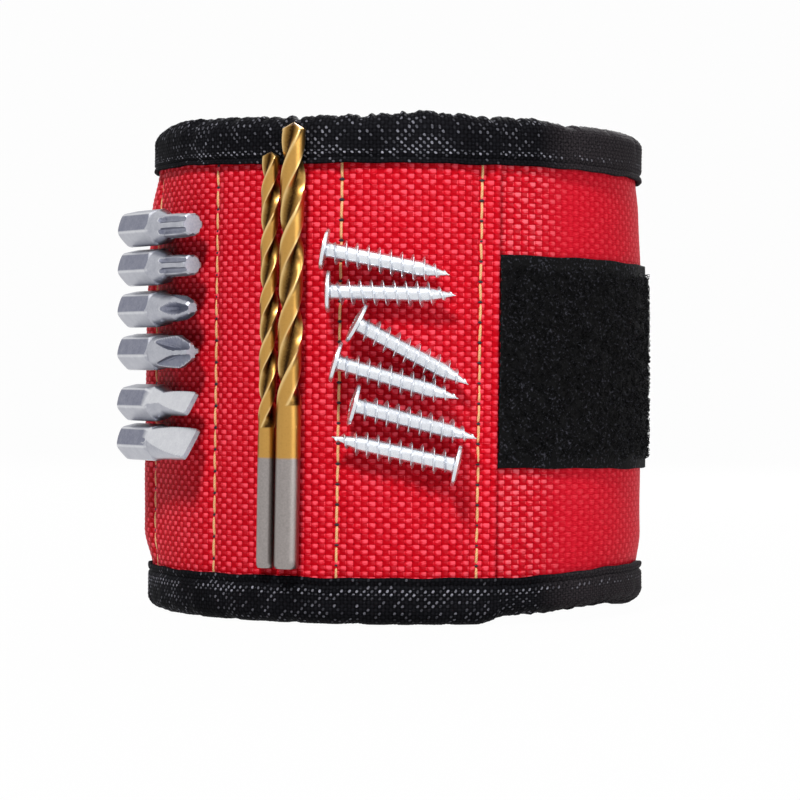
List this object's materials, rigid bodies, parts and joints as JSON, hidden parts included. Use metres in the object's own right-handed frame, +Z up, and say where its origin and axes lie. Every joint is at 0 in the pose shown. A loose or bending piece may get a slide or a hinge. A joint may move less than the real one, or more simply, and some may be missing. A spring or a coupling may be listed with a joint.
{
  "type": "magnetic wristband",
  "caption": "Padded fabric wristband with sewn-in magnets that hold driver bits, twist drills and screws, closed by a hook-and-loop tab.",
  "frame": {"origin": "under the middle of the whole part's box, on the surface that its lower edge stands on", "axes": "+Z up along the wearer's arm, -Y towards the front that carries the screws, +X towards the loop tape"},
  "size_m": [0.0998, 0.1046, 0.09],
  "materials": {
    "woven_cover": "coarse plain-weave red nylon",
    "lining_mesh": "black spacer mesh",
    "edge_tape": "black woven binding tape, folded and sewn",
    "foam": "grey sponge foam, sealed inside",
    "loop_pile": "black brushed loop pile",
    "hook_tape": "black hook tape",
    "sewing_thread": "golden beige topstitch thread",
    "magnet": "nickel-plated block magnet, sealed inside",
    "tool_steel": "satin grey blasted tool steel",
    "drill_steel": "gold-coated flutes over a bare ground shank",
    "bright_zinc": "bright zinc plate"
  },
  "bodies": {
    "band": {"lining_front": "lining_mesh", "base_cover_front": "woven_cover", "magnet_panel_front": "woven_cover", "pad_1": "foam", "pad_2": "foam", "pad_3": "foam", "pad_4": "foam", "pad_right": "foam", "pad_inner_end": "foam", "magnet_1_bottom": "magnet", "magnet_1_middle": "magnet", "magnet_1_top": "magnet", "magnet_2_bottom": "magnet", "magnet_2_middle": "magnet", "magnet_2_top": "magnet", "magnet_3_bottom": "magnet", "magnet_3_middle": "magnet", "magnet_3_top": "magnet", "magnet_4_bottom": "magnet", "magnet_4_middle": "magnet", "magnet_4_top": "magnet", "top_edge_tape_front": "edge_tape", "bottom_edge_tape_front": "edge_tape", "inner_end_tape": "edge_tape", "loop_tape": "loop_pile", "driver_bit_star_large": "tool_steel", "driver_bit_star_small": "tool_steel", "driver_bit_cross_small": "tool_steel", "driver_bit_cross_large": "tool_steel", "driver_bit_slot_small": "tool_steel", "driver_bit_slot_large": "tool_steel", "twist_drill_large": "drill_steel", "twist_drill_small": "drill_steel", "screw_1": "bright_zinc", "screw_2": "bright_zinc", "screw_3": "bright_zinc", "screw_4": "bright_zinc", "screw_5": "bright_zinc", "screw_6": "bright_zinc"},
    "wing": {"lining_wing": "lining_mesh", "base_cover_wing": "woven_cover", "magnet_panel_wing": "woven_cover", "pad_5": "foam", "pad_6": "foam", "magnet_5_bottom": "magnet", "magnet_5_middle": "magnet", "magnet_5_top": "magnet", "top_edge_tape_wing": "edge_tape", "bottom_edge_tape_wing": "edge_tape"},
    "tab": {"tab_backing": "edge_tape", "tab_cover": "woven_cover", "hook_tape": "hook_tape", "tab_end_tape": "edge_tape", "top_edge_tape_tab": "edge_tape", "bottom_edge_tape_tab": "edge_tape"}
  },
  "joints": [
    {"name": "wing_open", "type": "hinge", "parent": "band", "child": "wing", "pos_m": [-0.04206, 0.01737, 0.045], "axis": [0, 0, 1], "range_deg": [0, 60]},
    {"name": "tab_peel", "type": "hinge", "parent": "wing", "child": "tab", "pos_m": [-0.00463, 0.05176, 0.045], "axis": [0, 0, 1], "range_deg": [0, 80]}
  ]
}
